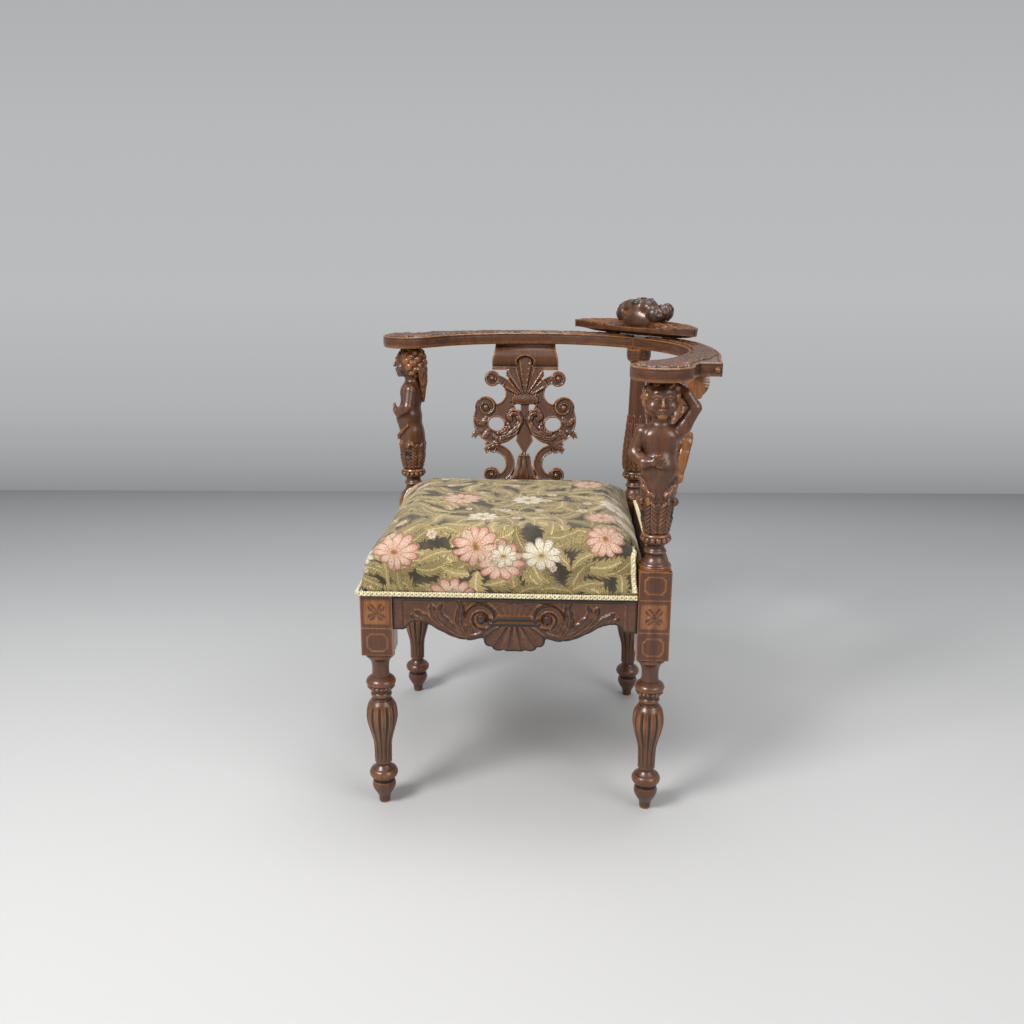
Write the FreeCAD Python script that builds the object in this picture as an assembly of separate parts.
import FreeCAD, Part
import math
import os
from FreeCAD import Vector

# Carved walnut corner chair: a square seat set cornerwise on four fluted legs, two putto herms and
# a turned column under a horseshoe arm rail, two pierced scroll splats and a stuffed-over seat.
# Millimetres, +Z up. The origin is on the floor under the middle of the chair's outline box.
# +Y points to the back corner, -Y to the front leg, and +X is at the right seen from the front.
#
# The seat frame is drawn in its own square axes u and v, with the front leg at their origin:
# u runs along the front right rail and v along the front left rail. It is turned 45 degrees into
# place. What stands over the right leg, or on the right of the middle, is mirrored to the left.

# Overall sizes
post_spacing = 440.0
outline_shift = -3.25
arm_underside = 721.5
arm_edge = 20.0
arm_crown = 5.0

# Legs and their square joint blocks
block_side = 52.0
block_bottom = 275.0
front_block_top = 376.5
post_block_top = 424.0
foot_radius = 10.0
foot_height = 13.0
toe_radius = 19.3
toe_z = 35.0
foot_ring_radius = 23.4
foot_ring_z = 57.0
foot_ring_half = 13.0
flute_count = 12
flute_depth = 2.2
flute_bottom_z = 78.5
flute_top_z = 190.0
flute_bottom_radius = 14.1
flute_top_radius = 17.0
bulb_radius = 25.4
bulb_z = 162.0
collar_radius = 24.4
collar_z = 215.5
collar_half = 14.5
neck_radius = 13.7
neck_z = 243.0
panel_width = 37.0
panel_sink = 1.5
panel_notch = 4.0
panel_margin = 7.0
rosette_height = 43.0
rosette_middle_z = 350.0

# Seat rails
rail_setback = 2.0
front_rail_thickness = 28.0
stile_bottom = 320.0
stile_width = 18.0
arch_top = 333.0
lobe_bottom = 304.0
shell_bottom = 289.5
shell_half_width = 49.0
ledge_height = 8.0
ledge_sink = 2.0
back_rail_thickness = 30.0
back_rail_bottom = 322.0
rebate_width = 10.0
tenon_thickness = 10.0
tenon_length = 22.0
tenon_shoulder = 8.0
joint_clearance = 0.1
corner_block_reach = 70.0
corner_block_height = 36.0
corner_block_drop = 8.0

# Upholstery
webbing_width = 50.0
webbing_thickness = 1.5
webbing_count = 4
base_cloth_thickness = 0.8
cushion_gap = 0.4
cushion_overhang = 1.5
seat_crown_z = 467.0
gimp_height = 10.0
gimp_thickness = 2.5

# Posts under the arm rail
herm_tenon_side = 20.0
column_tenon_radius = 10.0
top_tenon_length = 13.0
foot_tenon_depth = 24.0
base_ring_radius = 26.0
base_ring_height = 7.0
post_neck_radius = 14.0
bead_collar_radius = 24.0
bead_collar_z = 473.0
herm_foot_radius = 20.5
hip_half_width = 29.0
hip_z = 532.0
chest_half_width = 29.0
chest_z = 640.0
head_radius = 25.0
head_z = 691.0
column_bulb_radius = 25.2
column_bulb_z = 506.0
column_leaf_top_z = 592.0
column_shaft_radius = 15.0
capital_radius = 23.0
capital_height = 24.0

# Splats: heights are measured up the leaning board from the top of its shoe
splat_thickness = 18.0
splat_lean = 12.4
shoe_top = 448.0
shoe_half_length = 76.0
shoe_thickness = 34.0
shoe_offset = 22.0
shoe_step = 3.0
shoe_tongue = 8.0
splat_foot_offset = 25.0
splat_foot_half_width = 66.0
foot_tenon_half_width = 50.0
foot_tenon_length = 14.0
head_half_width = 66.0
head_thickness = 28.0
head_bottom = 225.0
head_tenon_half_width = 52.0
head_tenon_height = 11.0
scroll_radius = 48.5
scroll_across = 55.0
scroll_up = 125.0
volute_radius = 15.5

# Arm rail outline: how far it stands out and in from the circle through the post axes
out_back = 41.0
out_middle = 22.0
out_ear = 35.0
in_back = 19.0
in_middle = 25.6
in_side = 38.4
pad_radius = 56.0
pad_offset_x = 2.0
pad_offset_y = -3.0
ear_reach_u = 94.0
ear_notch_u = 59.0
ear_v = 27.0
field_inset = 6.0
key_length = 60.0
key_width = 18.0
key_thickness = 6.0

# Crest
leaf_half_length = 150.0
leaf_front_overhang = 6.0
leaf_back_overhang = 8.0
leaf_lobes = 8
leaf_lobe_depth = 7.0
leaf_height = 22.0
mask_half_width = 60.0
mask_half_depth = 36.0
mask_height = 48.0
mask_curl_radius = 15.0
loose_tenon_length = 30.0
loose_tenon_thickness = 8.0
loose_tenon_depth = 9.0

reach = post_spacing / math.sqrt(2)
half_block = block_side / 2
rail_face = half_block - rail_setback
front_rail_inner = rail_face - front_rail_thickness
back_rail_face = half_block
back_rail_inner = back_rail_face - back_rail_thickness
ledge_inner = back_rail_inner - rebate_width
crest_seat_z = arm_underside + arm_edge + arm_crown
turned_sides = 24
flat_tolerance = 1e-6
axis_x = Vector(1, 0, 0)
axis_y = Vector(0, 1, 0)
axis_z = Vector(0, 0, 1)


def joined(solids):
    whole = solids[0]
    for solid in solids[1:]:
        whole = whole.fuse(solid)
    return whole


def fused(solids):
    """Join solids and merge the flat faces that they share."""
    return joined(solids).removeSplitter()


def box(low, high):
    size = [b - a for a, b in zip(low, high)]
    return Part.makeBox(size[0], size[1], size[2], Vector(*low))


def rod(radius, length, foot, direction=axis_z):
    return Part.makeCylinder(radius, length, foot, direction)


def polygon(points):
    return Part.Face(Part.makePolygon(points + [points[0]]))


def prism(points, direction):
    return polygon(points).extrude(direction)


def skinned(rings):
    """Solid with flat sides through rings of corners, which match one for one and end in flat rings."""
    faces = [polygon(rings[0]), polygon(rings[-1])]
    for low, high in zip(rings, rings[1:]):
        for k in range(len(low)):
            a, b, c, d = low[k - 1], low[k], high[k], high[k - 1]
            twist = (b - a).cross(d - a).dot(c - a)
            if abs(twist) < flat_tolerance:
                faces.append(polygon([a, b, c, d]))
            else:
                faces += [polygon([a, b, c]), polygon([a, c, d])]
    return Part.Solid(Part.Shell(faces))


def level_ring(radii, z, centre_x=0.0, centre_y=0.0, depth=1.0):
    """Corners of a level ring, one for each radius; depth draws it in or out along y."""
    points = []
    for k, radius in enumerate(radii):
        a = 2 * math.pi * k / len(radii)
        points.append(Vector(centre_x + radius * math.cos(a), centre_y + depth * radius * math.sin(a), z))
    return points


def turned(profile):
    """Turned length about Z from (radius, z) points up its outside; each round has turned_sides flats."""
    return skinned([level_ring([radius] * turned_sides, z) for radius, z in profile])


def in_chair(shape):
    """Turn a shape of the square seat frame into the chair's own frame."""
    placed = shape.copy()
    placed.rotate(Vector(0, 0, 0), axis_z, 45)
    placed.translate(Vector(0, outline_shift - reach, 0))
    return placed


def from_centre(shape):
    """Move a shape that is drawn about the seat's centre into the chair's own frame."""
    placed = shape.copy()
    placed.translate(Vector(0, outline_shift, 0))
    return placed


def to_left(shape):
    return shape.mirror(Vector(0, 0, 0), axis_x)


def fluted_ring(radius, z):
    """Ring of arrises and hollows, in equal turns."""
    hollow = radius * (1 - flute_depth / bulb_radius)
    return level_ring([radius, hollow] * flute_count, z)


def leg_turning():
    """The turned part below the block: toe, foot ring, fluted baluster, collar and cove."""
    ring_low = foot_ring_z - foot_ring_half
    ring_high = foot_ring_z + foot_ring_half
    foot = turned([
        (foot_radius, 0),
        (foot_radius, foot_height),
        (toe_radius, toe_z),
        (toe_radius - 1, ring_low),
        (foot_ring_radius, foot_ring_z - 4),
        (foot_ring_radius, foot_ring_z + 4),
        (flute_bottom_radius - 3, ring_high),
        (flute_bottom_radius, flute_bottom_z),
    ])
    swell = bulb_radius - flute_bottom_radius
    rise = bulb_z - flute_bottom_z
    baluster = skinned([
        fluted_ring(flute_bottom_radius, flute_bottom_z),
        fluted_ring(flute_bottom_radius + 0.07 * swell, flute_bottom_z + 0.35 * rise),
        fluted_ring(flute_bottom_radius + 0.63 * swell, flute_bottom_z + 0.69 * rise),
        fluted_ring(bulb_radius, bulb_z),
        fluted_ring(bulb_radius - 2.2, bulb_z + 0.58 * (flute_top_z - bulb_z)),
        fluted_ring(flute_top_radius, flute_top_z),
    ])
    head = turned([
        (neck_radius + 1, flute_top_z),
        (neck_radius + 2, collar_z - collar_half),
        (collar_radius, collar_z - 4),
        (collar_radius, collar_z + 4),
        (neck_radius, collar_z + collar_half),
        (neck_radius, neck_z + 8),
        (neck_radius + 5, block_bottom - 13),
        (half_block - 2, block_bottom),
    ])
    return [foot, baluster, head]


def sunk_panel(low_z, high_z):
    """Cutter for a shallow panel with notched corners on the block's -v face."""
    half = panel_width / 2
    face = -half_block
    tall = box((-half + panel_notch, face, low_z), (half - panel_notch, face + panel_sink, high_z))
    wide = box((-half, face, low_z + panel_notch), (half, face + panel_sink, high_z - panel_notch))
    return tall.fuse(wide)


def panel_cutters(block_top):
    rosette_low = rosette_middle_z - rosette_height / 2
    rosette_high = rosette_middle_z + rosette_height / 2
    half = panel_width / 2
    face = -half_block
    square = box((-half, face, rosette_low), (half, face + panel_sink, min(rosette_high, block_top - 3)))
    cutters = [sunk_panel(block_bottom + panel_margin, rosette_low - 2 * panel_margin), square]
    if block_top - rosette_high > 4 * panel_margin:
        cutters.append(sunk_panel(rosette_high + 2 * panel_margin, block_top - panel_margin))
    return cutters


def leg(block_top, panel_turns):
    """A leg at the origin of u and v, with panels on the faces that panel_turns turns to."""
    block = box((-half_block, -half_block, block_bottom), (half_block, half_block, block_top))
    cutters = []
    for turn in panel_turns:
        for cutter in panel_cutters(block_top):
            cutter.rotate(Vector(0, 0, 0), axis_z, turn)
            cutters.append(cutter)
    block = block.cut(fused(cutters))
    return fused(leg_turning() + [block])


def rail_tenon(start_u, end_u, middle_v, low_z, high_z, gap=0.0):
    """A tenon along u, grown by gap where it cuts its mortise."""
    half = tenon_thickness / 2 + gap
    return box((start_u, middle_v - half, low_z - gap), (end_u, middle_v + half, high_z + gap))


front_tenon_v = -(rail_face - front_rail_thickness / 2)
front_tenon_low = stile_bottom + tenon_shoulder
front_tenon_high = front_block_top - 2 * tenon_shoulder
back_tenon_v = back_rail_face - back_rail_thickness / 2
back_tenon_low = back_rail_bottom + tenon_shoulder
back_tenon_high = post_block_top - foot_tenon_depth - tenon_shoulder / 2


def front_rail():
    """Front rail along u from the front leg to a side leg: stiles, arches, lobes and a centre shell."""
    low_u = half_block
    high_u = post_spacing - half_block
    middle = post_spacing / 2
    arch_low = low_u + stile_width + 6
    arch_high = middle - shell_half_width - 66
    lobe_u = middle - shell_half_width - 16
    shell_u = middle - shell_half_width

    def at(u, z):
        return Vector(u, -rail_face, z)

    half = [
        Part.makeLine(at(low_u, front_block_top), at(low_u, stile_bottom)),
        Part.makeLine(at(low_u, stile_bottom), at(low_u + stile_width, stile_bottom)),
        Part.makeLine(at(low_u + stile_width, stile_bottom), at(arch_low, stile_bottom + 3)),
        Part.Arc(at(arch_low, stile_bottom + 3), at((arch_low + arch_high) / 2 - 4, arch_top),
                 at(arch_high, arch_top - 7)).toShape(),
        Part.makeLine(at(arch_high, arch_top - 7), at(lobe_u - 28, lobe_bottom + 3.5)),
        Part.Arc(at(lobe_u - 28, lobe_bottom + 3.5), at(lobe_u - 6, lobe_bottom),
                 at(shell_u, lobe_bottom + 3)).toShape(),
    ]
    lobes = [(shell_half_width, lobe_bottom + 3), (28, shell_bottom + 6), (10, shell_bottom + 1)]
    for (out_a, z_a), (out_b, z_b) in zip(lobes, lobes[1:]):
        bulge = at(middle - (out_a + out_b) / 2 - 2, (z_a + z_b) / 2 - 4)
        half.append(Part.Arc(at(middle - out_a, z_a), bulge, at(middle - out_b, z_b)).toShape())
    last_out, last_z = lobes[-1]
    mirrored = [edge.mirror(Vector(middle, 0, 0), axis_x) for edge in half]
    tip = Part.Arc(at(middle - last_out, last_z), at(middle, shell_bottom - 1.5),
                   at(middle + last_out, last_z)).toShape()
    top = Part.makeLine(at(low_u, front_block_top), at(high_u, front_block_top))
    outline = Part.Wire(Part.__sortEdges__(half + [tip] + mirrored + [top]))
    board = Part.Face(outline).extrude(Vector(0, front_rail_thickness, 0))
    ground = box((low_u + stile_width, -rail_face, lobe_bottom + 26),
                 (high_u - stile_width, -rail_face + ledge_sink, front_block_top - ledge_height))
    tenon = rail_tenon(low_u - tenon_length, high_u + tenon_length, front_tenon_v,
                       front_tenon_low, front_tenon_high)
    return fused([board.cut(ground), tenon])


def back_rail():
    """Back rail along u behind the seat, rebated inside for the webbing and grooved for the shoe."""
    low_u = half_block
    high_u = post_spacing - half_block
    upper = box((low_u, back_rail_inner, back_rail_bottom), (high_u, back_rail_face, post_block_top))
    ledge = box((low_u, ledge_inner, back_rail_bottom), (high_u, back_rail_inner, front_block_top))
    tenon = rail_tenon(low_u - tenon_length, high_u + tenon_length, back_tenon_v,
                       back_tenon_low, back_tenon_high)
    return fused([upper, ledge, tenon])


def mortises(front_neighbours, back_neighbours):
    """Mortise cutters for a block: each neighbour is (turn, mirrored) of a tenon that comes from +u."""
    cutters = []
    for turn, side in front_neighbours:
        cutters.append(mortise(turn, side * front_tenon_v, front_tenon_low, front_tenon_high))
    for turn, side in back_neighbours:
        cutters.append(mortise(turn, side * back_tenon_v, back_tenon_low, back_tenon_high))
    return cutters


def mortise(turn, middle_v, low_z, high_z):
    end_u = half_block + 1
    start_u = half_block - tenon_length - joint_clearance
    cutter = rail_tenon(start_u, end_u, middle_v, low_z, high_z, joint_clearance)
    cutter.rotate(Vector(0, 0, 0), axis_z, turn)
    return cutter


def corner_block(first_inner, second_inner):
    """Glue block in a corner of the frame, notched round the leg, in axes that point along the rails."""
    low_z = front_block_top - corner_block_drop - corner_block_height
    points = [(half_block, first_inner), (corner_block_reach, first_inner),
              (second_inner, corner_block_reach), (second_inner, half_block),
              (half_block, half_block)]
    return prism([Vector(u, v, low_z) for u, v in points], Vector(0, 0, corner_block_height))


def post_foot():
    """Outside of a post's turned foot: base ring, flare, small ring, neck and bead collar."""
    z = post_block_top
    return [
        (base_ring_radius, z),
        (base_ring_radius, z + base_ring_height),
        (post_neck_radius + 1.4, z + 17),
        (post_neck_radius + 3.5, z + 28),
        (post_neck_radius, z + 36),
        (bead_collar_radius, bead_collar_z - 3),
        (bead_collar_radius, bead_collar_z + 3),
        (herm_foot_radius - 2, bead_collar_z + 9),
    ]


def herm_tenons(gap=0.0):
    """Square tenons of a herm, carved from a square blank: one in the leg block, one in the arm rail."""
    half = herm_tenon_side / 2 + gap
    low = box((-half, -half, post_block_top - foot_tenon_depth - gap), (half, half, post_block_top + 1))
    high = box((-half, -half, arm_underside - 1), (half, half, arm_underside + top_tenon_length + gap))
    return [low, high]


def column_tenons(gap=0.0):
    """Round tenons of the column: one in the leg block, one in the arm rail."""
    radius = column_tenon_radius + gap
    low = turned([(radius, post_block_top - foot_tenon_depth - gap), (radius, post_block_top + 1)])
    high = turned([(radius, arm_underside - 1), (radius, arm_underside + top_tenon_length + gap)])
    return [low, high]


def carved(rings, sides=12, centre=Vector(0, 0, 0)):
    """Rounded form through level ovals, each (z, half width, half depth, how far forward)."""
    ovals = []
    for z, half_width, half_depth, forward in rings:
        ovals.append(level_ring([half_width] * sides, z, 0, -forward, half_depth / half_width))
    return skinned(ovals).translated(centre)


def limb(start, end, start_radius, end_radius, sides=8):
    """Tapered limb that runs half a radius past both of its joints."""
    along = end - start
    reach_past = (start_radius + end_radius) / 4
    low = level_ring([start_radius] * sides, -reach_past)
    high = level_ring([end_radius] * sides, along.Length + reach_past)
    placed = skinned([low, high])
    placed.Placement = FreeCAD.Placement(start, FreeCAD.Rotation(axis_z, along))
    return placed


def knob(radius, centre, sides=8):
    rings = [(-radius, radius / 2, radius / 2, 0), (-radius / 3, radius, radius, 0),
             (radius / 3, radius, radius, 0), (radius, radius / 2, radius / 2, 0)]
    return carved(rings, sides, centre)


def figure():
    """Putto herm facing -v: turned foot, tapered herm body, torso, head, one lowered and one raised arm."""
    foot = turned(post_foot())
    hip = hip_half_width
    chest = chest_half_width
    body = carved([
        (bead_collar_z + 7, herm_foot_radius, herm_foot_radius - 1, 0),
        (hip_z - 28, hip - 5.5, hip - 7, 1),
        (hip_z, hip, hip - 4, 1),
        (hip_z + 28, hip - 1, hip - 3, 3),
        (hip_z + 62, hip - 2, hip - 3, 5),
        (chest_z - 26, chest - 2, hip - 6, 2),
        (chest_z, chest, hip - 7, 1),
        (chest_z + 15, chest - 3, hip - 11, 0),
        (chest_z + 24, head_radius - 9, head_radius - 10, 0),
        (chest_z + 36, head_radius - 11, head_radius - 11, 0),
    ])
    head_low = chest_z + 26
    head = carved([
        (head_low, 9, 10, 5),
        (head_low + 8, head_radius - 8, head_radius - 6, 6),
        (head_z - 5, head_radius - 1, head_radius + 1, 4),
        (head_z + 9, head_radius, head_radius + 2, 2),
        (head_z + 22, head_radius - 6, head_radius - 4, 0),
        (arm_underside, head_radius - 13, head_radius - 12, 0),
    ], 10)
    hair = carved([
        (head_z - 13, head_radius - 3, head_radius - 11, -14),
        (head_z, head_radius + 7, head_radius - 3, -8),
        (head_z + 14, head_radius + 8, head_radius, -6),
        (arm_underside, head_radius - 2, head_radius - 5, -5),
    ], 10)
    drape = carved([
        (chest_z - 22, 6, 4, -22),
        (chest_z + 10, 17, 8, -23),
        (head_z - 5, 20, 11, -21),
        (head_z + 18, 16, 9, -16),
    ], 8)
    low_elbow = Vector(-chest - 9, -4, chest_z - 32)
    belly_hand = Vector(-5, -hip + 2, chest_z - 42)
    high_elbow = Vector(chest + 25, -4, head_z - 2)
    head_hand = Vector(14, 8, arm_underside - 10)
    arms = [
        limb(Vector(-chest + 2, 0, chest_z + 8), low_elbow, 10.5, 9),
        limb(low_elbow, belly_hand, 9, 7.5),
        limb(Vector(chest - 4, 0, chest_z + 6), high_elbow, 11, 8.5),
        limb(high_elbow, head_hand, 8.5, 7),
    ]
    knobs = [
        knob(8, Vector(0, -hip + 4, hip_z + 9)),
        knob(8, Vector(-hip, 2, hip_z + 4)),
        knob(8, Vector(hip, 2, hip_z + 4)),
    ]
    whole = joined([foot, body, head, hair, drape] + arms + knobs)
    above = box((-100, -100, arm_underside), (100, 100, arm_underside + 60))
    return joined([whole.cut(above)] + herm_tenons())


def column():
    """Turned column on the back leg: leafed bulb, tapering shaft and capital."""
    capital_z = arm_underside - capital_height
    body = turned(post_foot() + [
        (column_bulb_radius - 2, column_bulb_z - 17),
        (column_bulb_radius, column_bulb_z),
        (column_bulb_radius - 2, column_bulb_z + 26),
        (column_shaft_radius + 5, column_leaf_top_z),
        (column_shaft_radius + 1.5, column_leaf_top_z + 2),
        (column_shaft_radius - 1, capital_z - 9),
        (capital_radius, capital_z + 8),
        (capital_radius, arm_underside),
    ])
    return fused([body] + column_tenons())


def across(points, thickness):
    """Flat shape of the splat board from (across, up) points, centred on the board's thickness."""
    return prism([Vector(s, -thickness / 2, h) for s, h in points], Vector(0, thickness, 0))


def disc(s, h, radius, thickness):
    return rod(radius, thickness, Vector(s, -thickness / 2, h), axis_y)


def band(s, h, inner, outer, start, end, thickness):
    """Part of a ring about (s, h), from one angle to another, in degrees from the +s direction."""
    def at(radius, degrees):
        a = math.radians(degrees)
        return Vector(s + radius * math.cos(a), -thickness / 2, h + radius * math.sin(a))
    middle = (start + end) / 2
    edges = [
        Part.Arc(at(inner, start), at(inner, middle), at(inner, end)).toShape(),
        Part.makeLine(at(inner, end), at(outer, end)),
        Part.Arc(at(outer, end), at(outer, middle), at(outer, start)).toShape(),
        Part.makeLine(at(outer, start), at(inner, start)),
    ]
    return Part.Face(Part.Wire(edges)).extrude(Vector(0, thickness, 0))


def shell_fan():
    """Scallop shell of five lobes under the head of the splat."""
    root = Vector(0, 0, 170)
    spread = [-64, -38, -13, 13, 38, 64]
    lengths = [52, 66, 82, 66, 52]
    half = head_thickness / 2
    edges = []
    ends = []
    for low, high, length in zip(spread, spread[1:], lengths):
        inner = length - 8
        for degrees in (low, high):
            a = math.radians(degrees)
            ends.append(Vector(inner * math.sin(a), -half, root.z + inner * math.cos(a)))
        m = math.radians((low + high) / 2)
        tip = Vector(length * math.sin(m), -half, root.z + length * math.cos(m))
        edges.append(Part.Arc(ends[-2], tip, ends[-1]).toShape())
    joined = []
    for k, edge in enumerate(edges):
        joined.append(edge)
        if k + 1 < len(edges):
            joined.append(Part.makeLine(ends[2 * k + 1], ends[2 * k + 2]))
    foot = [Vector(16, -half, root.z - 2), Vector(-16, -half, root.z - 2)]
    joined.append(Part.makeLine(ends[-1], foot[0]))
    joined.append(Part.makeLine(foot[0], foot[1]))
    joined.append(Part.makeLine(foot[1], ends[0]))
    return Part.Face(Part.Wire(joined)).extrude(Vector(0, splat_thickness, 0))


def splat_half():
    """Right half of the scrollwork: lower scroll, C scroll with its curl, neck bar and top scroll."""
    t = splat_thickness
    lower_s, lower_h = scroll_across + 4, scroll_up - 88
    neck_s, neck_h = scroll_across + 5, scroll_up + 53
    opening = disc(scroll_across, scroll_up - 8, 13.5, 2 * t)
    wider = disc(scroll_across + 5, scroll_up - 7, 12, 2 * t)
    scroll = disc(scroll_across, scroll_up, scroll_radius, t)
    scroll = scroll.cut(opening.fuse(wider))
    hollow = disc(neck_s, neck_h, 21, 2 * t)
    gap = across([(8, scroll_up + 31), (22, scroll_up + 31), (15, scroll_up + 17)], 2 * t)
    head = disc(scroll_across + 18, scroll_up + 21, 26, t)
    curl = disc(21, scroll_up, 18, t)
    leaf_low = across([(62, 56), (81, 68), (71, 79), (50, 78)], t)
    leaf_high = across([(88, 89), (106, 88), (98, 102), (86, 112)], t)
    pieces = [
        scroll.cut(hollow).cut(gap),
        head.cut(hollow),
        curl,
        leaf_low,
        leaf_high,
        band(neck_s, neck_h, 21, 37, 108, 252, t),
        disc(scroll_across + 11, scroll_up + 83, volute_radius, t),
        disc(scroll_across + 11, scroll_up + 25, volute_radius, t),
        band(lower_s, lower_h, 22, 40, 98, 272, t),
        disc(scroll_across + 10, scroll_up - 110, volute_radius + 0.5, t),
    ]
    return pieces


def splat_board():
    """The whole carved board before it leans, with its pulvinated head and a foot long enough to trim."""
    t = splat_thickness
    half = splat_half()
    other = [piece.mirror(Vector(0, 0, 0), axis_x) for piece in half]
    lozenge = across([(0, 61), (17, 84), (6, 156), (-6, 156), (-17, 84)], t - 6)
    collar = across([(-23, 156), (23, 156), (24, 166), (18, 178), (-18, 178), (-24, 166)], t)
    husk = across([(-28, 0), (28, 0), (24, 12), (14, 34), (12, 53), (8, 62),
                   (-8, 62), (-12, 53), (-14, 34), (-24, 12)], t - 2)
    w = splat_foot_half_width
    foot = across([(-w, -8), (w, -8), (w, 8), (-w, 8)], t)
    top = 300.0
    half_t = head_thickness / 2
    w = head_half_width
    cushion = [Vector(-w, -half_t + 4, head_bottom), Vector(-w, half_t - 4, head_bottom),
               Vector(-w, half_t - 4, head_bottom + 8), Vector(-w, half_t - 6, top),
               Vector(-w, -half_t + 6, top), Vector(-w, -half_t + 4, head_bottom + 8)]
    edges = [
        Part.makeLine(cushion[0], cushion[1]),
        Part.makeLine(cushion[1], cushion[2]),
        Part.Arc(cushion[2], Vector(-w, half_t + 2, head_bottom + 24), cushion[3]).toShape(),
        Part.makeLine(cushion[3], cushion[4]),
        Part.Arc(cushion[4], Vector(-w, -half_t - 2, head_bottom + 24), cushion[5]).toShape(),
        Part.makeLine(cushion[5], cushion[0]),
    ]
    head = Part.Face(Part.Wire(edges)).extrude(Vector(2 * w, 0, 0))
    return fused(half + other + [lozenge, collar, husk, foot, shell_fan(), head])


def foot_tenon(gap=0.0):
    half_t = splat_thickness / 4 + gap
    w = foot_tenon_half_width + gap
    return box((-w, -half_t, -foot_tenon_length - gap), (w, half_t, 2 + gap))


def lean_back(shape):
    """Lean a board shape outwards and stand it at its foot on the +u side, running along v."""
    placed = shape.copy()
    placed.rotate(Vector(0, 0, 0), axis_x, splat_lean)
    placed.rotate(Vector(0, 0, 0), axis_z, 90)
    placed.translate(Vector(post_spacing + splat_foot_offset, post_spacing / 2, shoe_top))
    return placed


def head_tenon(gap=0.0):
    rise = arm_underside - shoe_top
    u = post_spacing + splat_foot_offset + rise * math.tan(math.radians(splat_lean))
    v = post_spacing / 2
    half_t = splat_thickness / 4 + gap
    w = head_tenon_half_width + gap
    return box((u - half_t, v - w, arm_underside - 2), (u + half_t, v + w, arm_underside + head_tenon_height + gap))


def splat():
    """The leaning board, trimmed level on the shoe and under the arm rail, with a tenon at each end."""
    board = lean_back(splat_board())
    near, far = post_spacing - 50, post_spacing + 250
    above = box((near, 0, arm_underside), (far, post_spacing, arm_underside + 100))
    below = box((near, 0, shoe_top - 100), (far, post_spacing, shoe_top))
    return fused([board.cut(above).cut(below), lean_back(foot_tenon()), head_tenon()])


def shoe():
    """Moulded shoe on the back rail: two fasciae over a tongue, mortised for the splat's foot."""
    length = shoe_half_length
    v = post_spacing / 2
    u = post_spacing + shoe_offset
    half = shoe_thickness / 2
    z = post_block_top
    section = [(-half, z), (half, z), (half, z + 14), (half - shoe_step, z + 16),
               (half - shoe_step, shoe_top), (-half + shoe_step, shoe_top),
               (-half + shoe_step, z + 16), (-half, z + 14)]
    body = prism([Vector(u + a, v - length, b) for a, b in section], Vector(0, 2 * length, 0))
    tongue = shoe_tongue_bar()
    return fused([body, tongue]).cut(lean_back(foot_tenon(joint_clearance)))


def shoe_tongue_bar(gap=0.0):
    u = post_spacing + back_tenon_v
    v = post_spacing / 2
    half_t = shoe_tongue / 2 + gap
    w = shoe_half_length - 12 + gap
    return box((u - half_t, v - w, post_block_top - shoe_tongue - gap), (u + half_t, v + w, post_block_top))


def polar(out, degrees, z):
    """Point out from the circle through the posts, at an angle from the back corner."""
    a = math.radians(degrees)
    return Vector((reach + out) * math.sin(a), (reach + out) * math.cos(a), z)


def seat_point(u, v, z):
    """Point of the seat's square axes, about the seat's centre in the chair's directions."""
    return Vector((u - v) / math.sqrt(2), (u + v) / math.sqrt(2) - reach, z)


def arm_outline(z):
    """Right half of the arm rail's outline, from the back inner point round the pad to the back."""
    pad = Vector(reach + pad_offset_x, pad_offset_y, z)

    def on_pad(degrees):
        a = math.radians(degrees)
        return pad + Vector(pad_radius * math.cos(a), pad_radius * math.sin(a), 0)

    inner_side = polar(-in_side, 77, z)
    notch = seat_point(post_spacing + ear_notch_u, ear_v, z)
    ear = seat_point(post_spacing + ear_reach_u, ear_v, z)
    ear_back = polar(out_ear, 67, z)
    outer_mid = polar(out_middle + 2, 32, z)
    return [
        Part.Arc(polar(-in_back, 0, z), polar(-in_middle, 45, z), inner_side).toShape(),
        Part.makeLine(inner_side, on_pad(168)),
        Part.Arc(on_pad(168), on_pad(-70), on_pad(52)).toShape(),
        Part.makeLine(on_pad(52), notch),
        Part.makeLine(notch, ear),
        Part.makeLine(ear, ear_back),
        Part.Arc(ear_back, polar(out_middle, 48, z), outer_mid).toShape(),
        Part.Arc(outer_mid, polar(out_back - 4, 15, z), polar(out_back, 0, z)).toShape(),
    ]


def horseshoe():
    """The whole arm rail with its raised field, before it is parted at the back."""
    right = arm_outline(arm_underside)
    left = [edge.mirror(Vector(0, 0, 0), axis_x) for edge in right]
    face = Part.Face(Part.Wire(Part.__sortEdges__(right + left)))
    plate = face.extrude(Vector(0, 0, arm_edge))
    inner = face.makeOffset2D(-field_inset)
    inner.translate(Vector(0, 0, arm_edge))
    field = inner.extrude(Vector(0, 0, arm_crown))
    return fused([plate, field])


def arm_key(gap=0.0):
    y = reach + (out_back - in_back) / 2 + 18
    z = arm_underside + arm_edge / 2
    low = (-key_length / 2 - gap, y - key_width / 2 - gap, z - key_thickness / 2 - gap)
    high = (key_length / 2 + gap, y + key_width / 2 + gap, z + key_thickness / 2 + gap)
    return box(low, high)


def loose_tenon(x, y, z, gap=0.0):
    """Loose tenon that stands half in the piece below z and half in the piece above."""
    half_l = loose_tenon_length / 2 + gap
    half_t = loose_tenon_thickness / 2 + gap
    half_d = loose_tenon_depth + gap
    return box((x - half_l, y - half_t, z - half_d), (x + half_l, y + half_t, z + half_d))


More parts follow.
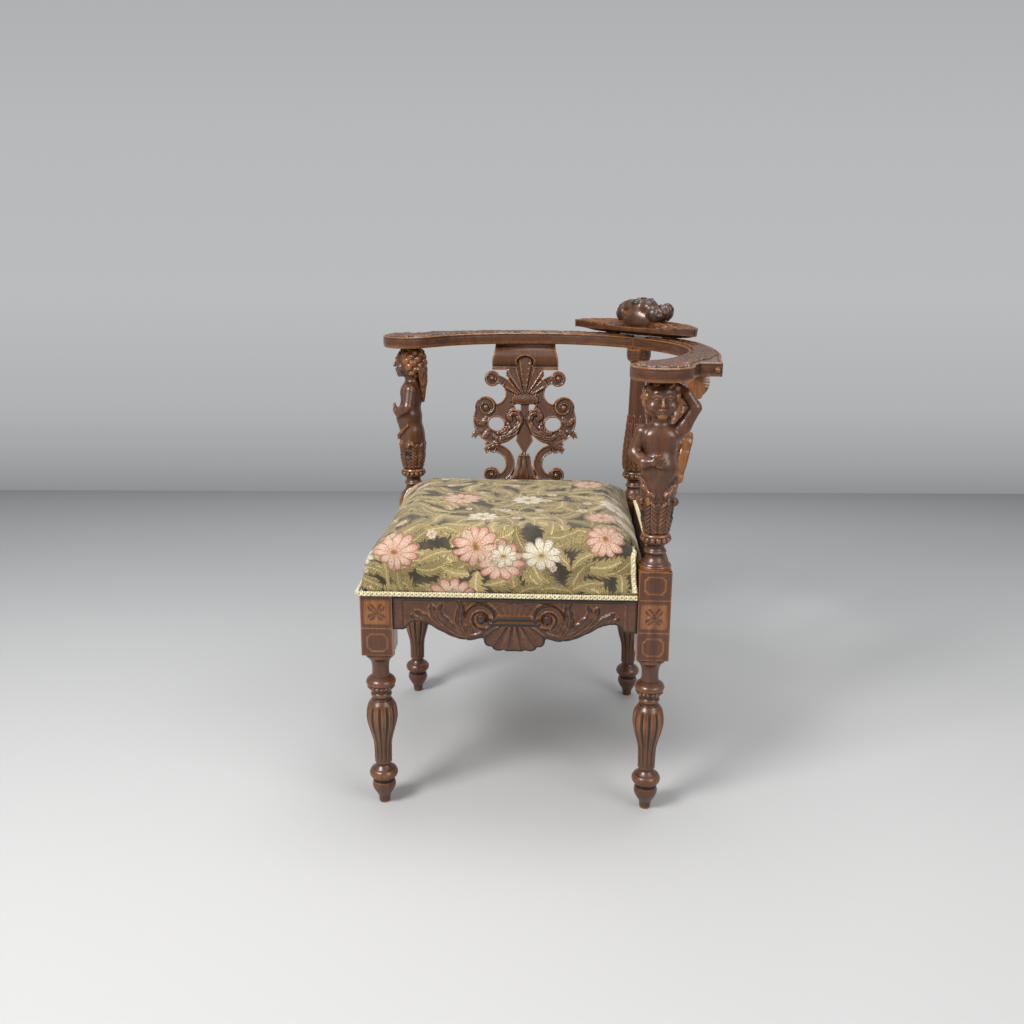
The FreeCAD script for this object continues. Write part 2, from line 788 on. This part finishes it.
def crest_tenons(gap=0.0):
    """Two loose tenons from the arm rail into the leaf and one from the leaf into the mask."""
    rail_y = reach + (out_back - in_back) / 2 - 8
    pair = [loose_tenon(side * 70, rail_y, crest_seat_z, gap) for side in (-1, 1)]
    return pair + [loose_tenon(0, mask_centre_y(), crest_seat_z + leaf_height, gap)]


def arm_rail():
    """Right half of the arm rail, mortised for its post, the column, the splat's head and the key."""
    whole = horseshoe()
    right = whole.common(box((0, -2 * reach, 0), (2 * reach, 2 * reach, 2 * arm_underside)))
    herm_hole = herm_tenons(joint_clearance)[1]
    herm_hole.rotate(Vector(0, 0, 0), axis_z, 45)
    herm_hole.translate(Vector(reach, 0, 0))
    column_hole = column_tenons(joint_clearance)[1]
    column_hole.translate(Vector(0, reach, 0))
    splat_hole = head_tenon(joint_clearance)
    splat_hole.rotate(Vector(0, 0, 0), axis_z, 45)
    splat_hole.translate(Vector(0, -reach, 0))
    cutters = [herm_hole, column_hole, splat_hole, arm_key(joint_clearance)]
    return right.cut(joined(cutters + crest_tenons(joint_clearance)))


def leaf_outline(inset, z):
    """Outline of the crest leaf: a straight front edge and a bowed back edge with pointed lobes."""
    length = leaf_half_length - inset
    front = reach - in_back - leaf_front_overhang + inset
    bow = reach + out_back + leaf_back_overhang - inset - front
    points = []
    steps = 2 * leaf_lobes
    for k in range(steps + 1):
        a = math.pi * k / steps
        notch = leaf_lobe_depth if k % 2 else 0
        points.append(Vector((length - notch) * math.cos(a), front + (bow - notch) * math.sin(a), z))
    return points


def crest_leaf():
    """Leaf plate on the rail's back: it swells from a narrow seat and falls away to its top."""
    middle = crest_seat_z + leaf_height * 0.45
    top = crest_seat_z + leaf_height
    rings = [leaf_outline(12, crest_seat_z), leaf_outline(0, middle), leaf_outline(18, top)]
    return skinned(rings).cut(joined(crest_tenons(joint_clearance)))


def mask_centre_y():
    return reach + (out_back - in_back) / 2 - 1


def crest_mask():
    """Small mask that lies face up on the leaf: skull, brow, cheeks and a curl of hair at each side."""
    z = crest_seat_z + leaf_height
    w, d, h = mask_half_width, mask_half_depth, mask_height
    middle = Vector(0, mask_centre_y(), z)
    skull = carved([(0, w, d, 0), (h * 0.3, w, d, 0), (h * 0.66, w - 8, d - 5, 0),
                    (h - 6, w - 30, d - 17, 0)], 12, middle)
    brow = carved([(h - 26, 11, 15, 8), (h - 4, 7, 12, 8), (h, 3, 7, 6)], 8, middle)
    lumps = [skull, brow]
    for side in (-1, 1):
        cheek = [(h - 34, 19, 17, 14), (h - 16, 17, 15, 14), (h - 9, 8, 7, 14)]
        lumps.append(carved(cheek, 8, middle + Vector(side * 21, 0, 0)))
        r = mask_curl_radius
        curl = [(h - 2.4 * r, r, r, -2), (h - 0.8 * r, r + 2, r + 4, -2), (h - 1, r - 6, r - 3, -2)]
        lumps.append(carved(curl, 8, middle + Vector(side * (w - r - 2), 0, 0)))
    return joined(lumps).cut(joined(crest_tenons(joint_clearance)))


def webbing_layer(level):
    """Parallel webbing strips along u, tacked on the front rail and the back rail's ledge."""
    low_u = front_rail_inner - 10
    high_u = post_spacing + ledge_inner + rebate_width - 1
    low_v = half_block + 6
    step = (post_spacing - 2 * low_v - webbing_width) / (webbing_count - 1)
    z = front_block_top + level * webbing_thickness
    strips = []
    for k in range(webbing_count):
        v = low_v + k * step
        strips.append(box((low_u, v, z), (high_u, v + webbing_width, z + webbing_thickness)))
    return strips


def seat_webbing():
    over = [strip.mirror(Vector(0, 0, 0), Vector(1, -1, 0)) for strip in webbing_layer(1)]
    return Part.makeCompound(webbing_layer(0) + over)


def block_cutters(gap, low_z):
    """Boxes round the three tall blocks, which the upholstery goes round."""
    far = post_spacing - half_block - gap
    near = half_block + gap
    out = post_spacing + half_block + 10
    spans = [((far, -half_block - 10), (out, near)), ((-half_block - 10, far), (near, out)),
             ((far, far), (out, out))]
    return [box((a[0], a[1], low_z), (b[0], b[1], arm_underside)) for a, b in spans]


def base_cloth():
    z = front_block_top + 2 * webbing_thickness
    low = front_rail_inner - 12
    high = post_spacing + back_rail_inner - 1
    sheet = box((low, low, z), (high, high, z + base_cloth_thickness))
    return sheet.cut(fused(block_cutters(1.0, 0)))


def eased_square(low, high, radius, z):
    """Level square in u and v, each corner eased over radius by three short sides."""
    points = []
    for u_sign, v_sign, first in ((1, -1, -90), (1, 1, 0), (-1, 1, 90), (-1, -1, 180)):
        centre_u = high - radius if u_sign > 0 else low + radius
        centre_v = high - radius if v_sign > 0 else low + radius
        for turn in (0, 30, 60, 90):
            a = math.radians(first + turn)
            points.append(Vector(centre_u + radius * math.cos(a), centre_v + radius * math.sin(a), z))
    return points


def seat_cushion():
    """Stuffed-over seat: bulging front sides, straight back sides inside the rails, and a low crown."""
    floor = front_block_top + 2 * webbing_thickness + base_cloth_thickness
    front = -half_block - cushion_overhang
    back = post_spacing + back_rail_inner - cushion_gap
    rise = seat_crown_z - post_block_top
    rings = [
        (3.0, 0.0, 8, floor),
        (0.0, 0.0, 12, floor + 20),
        (1.5, 0.0, 16, post_block_top),
        (9.0, 5.0, 20, post_block_top + 0.36 * rise),
        (26.0, 20.0, 30, post_block_top + 0.62 * rise),
        (60.0, 54.0, 40, post_block_top + 0.82 * rise),
        (115.0, 110.0, 50, post_block_top + 0.95 * rise),
        (175.0, 170.0, 30, seat_crown_z),
    ]
    pad = skinned([eased_square(front + a, back - b, radius, z) for a, b, radius, z in rings])
    return pad.cut(fused(block_cutters(cushion_gap, 0)))


def gimp_braid():
    """Braid along the lower edge of the two front sides and on the back rails' inner edges."""
    z = front_block_top + 0.2
    face = -half_block - cushion_overhang
    end = post_spacing - half_block - cushion_gap
    run = box((face - gimp_thickness, face - gimp_thickness, z), (end, face - 0.1, z + gimp_height))
    other = run.mirror(Vector(0, 0, 0), Vector(1, -1, 0))
    rail_edge = post_spacing + back_rail_inner + 0.5
    shoe_edge = post_spacing + shoe_offset - shoe_thickness / 2
    back = box((rail_edge, half_block + 1, post_block_top),
               (shoe_edge - 0.5, end - 1, post_block_top + gimp_thickness))
    back_other = back.mirror(Vector(0, 0, 0), Vector(1, -1, 0))
    return Part.makeCompound([fused([run, other]), back, back_other])


def at_corner(shape, corner):
    """Turn a corner piece from the front leg's axes to another corner of the seat frame."""
    turns = {"front": 0, "right": 90, "back": 180, "left": 270}
    places = {"front": (0, 0), "right": (post_spacing, 0),
              "back": (post_spacing, post_spacing), "left": (0, post_spacing)}
    placed = shape.copy()
    placed.rotate(Vector(0, 0, 0), axis_z, turns[corner])
    placed.translate(Vector(places[corner][0], places[corner][1], 0))
    return placed


def legs():
    """The four legs with mortises for their rails and their posts."""
    front = leg(front_block_top, (0, -90)).cut(fused(mortises([(0, 1), (90, -1)], [])))
    herm_hole = herm_tenons(joint_clearance)[0]
    column_hole = column_tenons(joint_clearance)[0]
    right = leg(post_block_top, (0, 90)).cut(fused(mortises([(180, -1)], [(90, -1)]) + [herm_hole]))
    back = leg(post_block_top, (90, 180)).cut(fused(mortises([], [(180, -1), (270, 1)]) + [column_hole]))
    right.translate(Vector(post_spacing, 0, 0))
    back.translate(Vector(post_spacing, post_spacing, 0))
    return {
        "leg_front": in_chair(front),
        "leg_right": in_chair(right),
        "leg_left": to_left(in_chair(right)),
        "leg_back": in_chair(back),
    }


def rails():
    front = in_chair(front_rail())
    plain = back_rail()
    plain.rotate(Vector(0, 0, 0), axis_z, -90)
    plain.translate(Vector(post_spacing, post_spacing, 0))
    grooved = in_chair(plain.cut(shoe_tongue_bar(joint_clearance)))
    return {
        "rail_front_right": front,
        "rail_front_left": to_left(front),
        "rail_back_right": grooved,
        "rail_back_left": to_left(grooved),
    }


def corner_blocks():
    """Glue blocks, each drawn for the front corner and turned to its own."""
    front_in = -front_rail_inner
    back_in = -ledge_inner
    pairs = {"front": (front_in, front_in), "right": (back_in, front_in),
             "back": (back_in, back_in), "left": (front_in, back_in)}
    blocks = [at_corner(corner_block(*pair), corner) for corner, pair in pairs.items()]
    return {"corner_blocks": in_chair(Part.makeCompound(blocks))}


def posts():
    """The two herms over the side legs and the column over the back leg."""
    herm = in_chair(figure().translated(Vector(post_spacing, 0, 0)))
    turned_post = in_chair(column().translated(Vector(post_spacing, post_spacing, 0)))
    return {"figure_right": herm, "figure_left": to_left(herm), "back_column": turned_post}


def splats():
    right = in_chair(splat())
    right_shoe = in_chair(shoe())
    return {
        "splat_right": right,
        "splat_left": to_left(right),
        "splat_shoe_right": right_shoe,
        "splat_shoe_left": to_left(right_shoe),
    }


def arms_and_crest():
    right = from_centre(arm_rail())
    return {
        "arm_rail_right": right,
        "arm_rail_left": to_left(right),
        "arm_rail_key": from_centre(arm_key()),
        "crest_leaf": from_centre(crest_leaf()),
        "crest_mask": from_centre(crest_mask()),
        "crest_tenons": from_centre(Part.makeCompound(crest_tenons())),
    }


def upholstery():
    return {
        "seat_webbing": in_chair(seat_webbing()),
        "seat_base_cloth": in_chair(base_cloth()),
        "seat_cushion": in_chair(seat_cushion()),
        "gimp_braid": in_chair(gimp_braid()),
    }


def main():
    os.makedirs("parts", exist_ok=True)
    for group in (legs, rails, corner_blocks, posts, splats, arms_and_crest, upholstery):
        for node, shape in group().items():
            shape.exportStep("parts/" + node + ".step")
            print(node, len(shape.Solids), round(shape.Volume), shape.isValid())


main()
